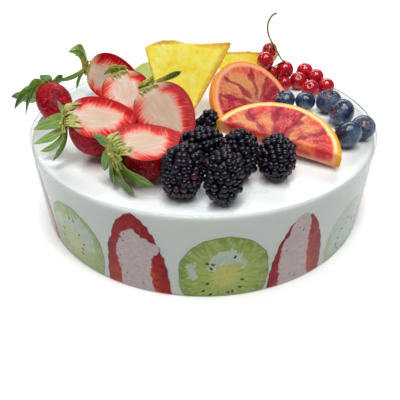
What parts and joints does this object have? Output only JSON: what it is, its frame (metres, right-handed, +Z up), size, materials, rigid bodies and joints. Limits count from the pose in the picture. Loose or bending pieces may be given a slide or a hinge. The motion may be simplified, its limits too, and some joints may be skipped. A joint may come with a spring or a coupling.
{
  "type": "fruit semifreddo",
  "caption": "Round low frozen cream cake in a clear collar, with fruit slices in its wall and a heap of glazed berries and cut fruit on top.",
  "frame": {"origin": "centre of the cake's round base, on the surface it stands on", "axes": "+Z up; -Y is the side that faces the viewer; +X to the viewer's right"},
  "size_m": [0.2161, 0.2, 0.0975],
  "materials": {
    "cream": "satin cream",
    "collar": "clear film",
    "berry_slice": "wet cut fruit",
    "kiwi_flesh": "wet cut fruit",
    "strawberry": "glazed",
    "leaf": "satin",
    "bramble": "glazed",
    "blueberry": "glazed over bloom",
    "currant": "glazed, translucent",
    "stem": "dry",
    "pineapple": "wet cut fruit",
    "citrus": "wet cut fruit"
  },
  "bodies": {
    "root": {"semifreddo": "cream", "acetate_collar": "collar", "wall_berry_1": "berry_slice", "wall_berry_2": "berry_slice", "wall_berry_3": "berry_slice", "wall_berry_4": "berry_slice", "wall_berry_5": "berry_slice", "wall_berry_6": "berry_slice", "wall_berry_7": "berry_slice", "wall_berry_8": "berry_slice", "wall_kiwi_1": "kiwi_flesh", "wall_kiwi_2": "kiwi_flesh", "wall_kiwi_3": "kiwi_flesh", "wall_kiwi_4": "kiwi_flesh", "wall_kiwi_5": "kiwi_flesh", "wall_kiwi_6": "kiwi_flesh", "wall_kiwi_7": "kiwi_flesh", "wall_kiwi_8": "kiwi_flesh", "kiwi_piece": "kiwi_flesh", "strawberry_1": "strawberry", "strawberry_2": "strawberry", "strawberry_3": "strawberry", "strawberry_4": "strawberry", "strawberry_5": "strawberry", "strawberry_6": "strawberry", "strawberry_leaves_1": "leaf", "strawberry_leaves_2": "leaf", "strawberry_leaves_3": "leaf", "strawberry_leaves_4": "leaf", "strawberry_leaves_5": "leaf", "strawberry_leaves_6": "leaf", "bramble_1": "bramble", "bramble_2": "bramble", "bramble_3": "bramble", "bramble_4": "bramble", "bramble_5": "bramble", "bramble_6": "bramble", "blueberry_1": "blueberry", "blueberry_2": "blueberry", "blueberry_3": "blueberry", "blueberry_4": "blueberry", "blueberry_5": "blueberry", "blueberry_6": "blueberry", "blueberry_7": "blueberry", "currant_1": "currant", "currant_2": "currant", "currant_3": "currant", "currant_4": "currant", "currant_5": "currant", "currant_6": "currant", "currant_7": "currant", "currant_8": "currant", "currant_9": "currant", "currant_10": "currant", "currant_11": "currant", "currant_stalk": "stem", "pineapple_1": "pineapple", "pineapple_2": "pineapple", "citrus_slice_1": "citrus", "citrus_slice_2": "citrus"}
  },
  "joints": []
}
